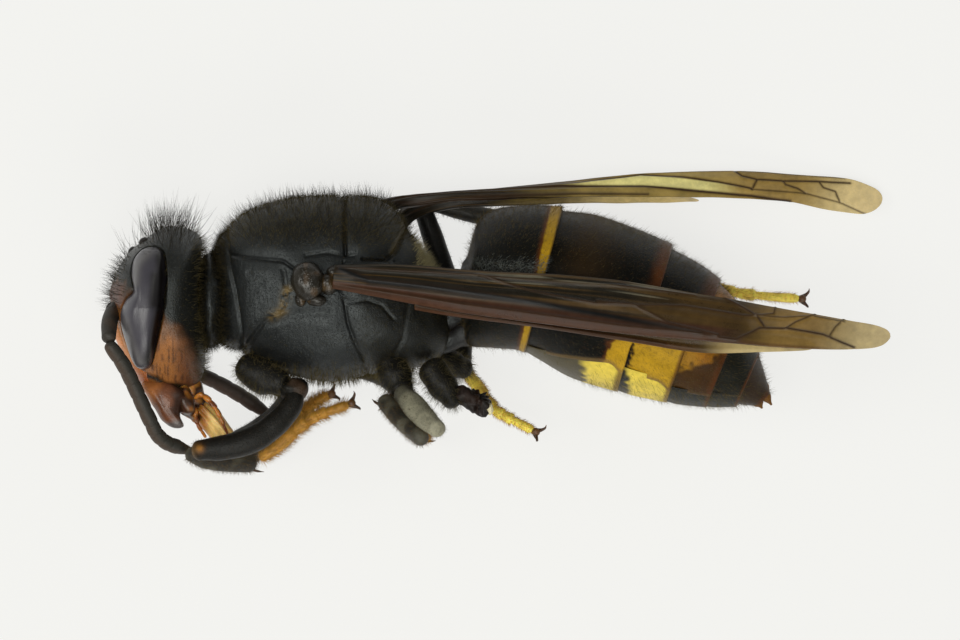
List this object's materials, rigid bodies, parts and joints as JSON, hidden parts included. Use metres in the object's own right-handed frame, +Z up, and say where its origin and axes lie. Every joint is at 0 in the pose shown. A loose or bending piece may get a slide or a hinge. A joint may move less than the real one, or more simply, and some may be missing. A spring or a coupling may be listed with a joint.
{
  "type": "asian hornet",
  "caption": "Dried yellow-legged hornet lying on its right side, wings folded lengthwise along the banded gaster, legs and feelers curled below.",
  "frame": {"origin": "middle of the underside of the box around the insect, at the level of the floor it lies on", "axes": "+X from the head towards the wing tips, +Y from the belly side to the back, +Z up from the right side, which lies on the floor, to the left side"},
  "size_m": [0.026, 0.01, 0.0087],
  "materials": {
    "black_cuticle": "satin black cuticle, finely pitted, with a bluish sheen and fine brown hair",
    "gaster_bands": "satin cuticle, dark brown in front and orange-yellow behind, with fine hair",
    "eye": "glossy grey-purple facets",
    "face": "satin orange-yellow cuticle",
    "mandible": "glossy red-brown with a dark cutting edge",
    "mouthparts": "pale amber, partly clear",
    "antenna": "dull dark brown, ringed",
    "tegula": "glossy brown shield",
    "wing": "thin amber membrane with dark brown veins",
    "upper_leg": "satin black cuticle with fine hair",
    "tibia": "dull dark cuticle, dusted grey, with short hair",
    "tarsus": "dull yellow to orange, with a brush of short hair"
  },
  "bodies": {
    "root": {"eye_left": "eye", "eye_right": "eye", "head_capsule": "black_cuticle", "clypeus": "face", "mandible_left": "mandible", "mandible_right": "mandible", "labium": "mouthparts", "palps_left": "mouthparts", "palps_right": "mouthparts", "pronotum": "black_cuticle", "mesoscutum": "black_cuticle", "scutellum": "black_cuticle", "mesopleuron": "black_cuticle", "propodeum": "black_cuticle", "petiole": "black_cuticle", "tergite_1": "black_cuticle", "tergite_2": "gaster_bands", "sternite_2": "gaster_bands", "tergite_3": "gaster_bands", "sternite_3": "gaster_bands", "tergite_4": "gaster_bands", "sternite_4": "gaster_bands", "tergite_5": "gaster_bands", "tergite_6": "gaster_bands", "tegula_left": "tegula", "tegula_right": "tegula", "forewing_left": "wing", "forewing_right": "wing", "hindwing_left": "wing", "hindwing_right": "wing", "antenna_left_scape": "antenna", "antenna_left_flagellum_1": "antenna", "antenna_left_flagellum_2": "antenna", "antenna_right_scape": "antenna", "antenna_right_flagellum_1": "antenna", "antenna_right_flagellum_2": "antenna", "leg_left_fore_coxa": "upper_leg", "leg_left_fore_femur": "upper_leg", "leg_left_fore_tibia": "tibia", "leg_left_fore_tarsus": "tarsus", "leg_left_mid_coxa": "upper_leg", "leg_left_mid_femur": "upper_leg", "leg_left_mid_tibia": "tibia", "leg_left_mid_tarsus": "tarsus", "leg_left_hind_coxa": "upper_leg", "leg_left_hind_stump": "upper_leg", "leg_right_fore_coxa": "upper_leg", "leg_right_fore_femur": "upper_leg", "leg_right_fore_tibia": "tibia", "leg_right_fore_tarsus": "tarsus", "leg_right_mid_coxa": "upper_leg", "leg_right_mid_femur": "upper_leg", "leg_right_mid_tibia": "tibia", "leg_right_mid_tarsus": "tarsus", "leg_right_hind_coxa": "upper_leg", "leg_right_hind_femur": "upper_leg", "leg_right_hind_tibia": "tibia", "leg_right_hind_tarsus": "tarsus"}
  },
  "joints": []
}
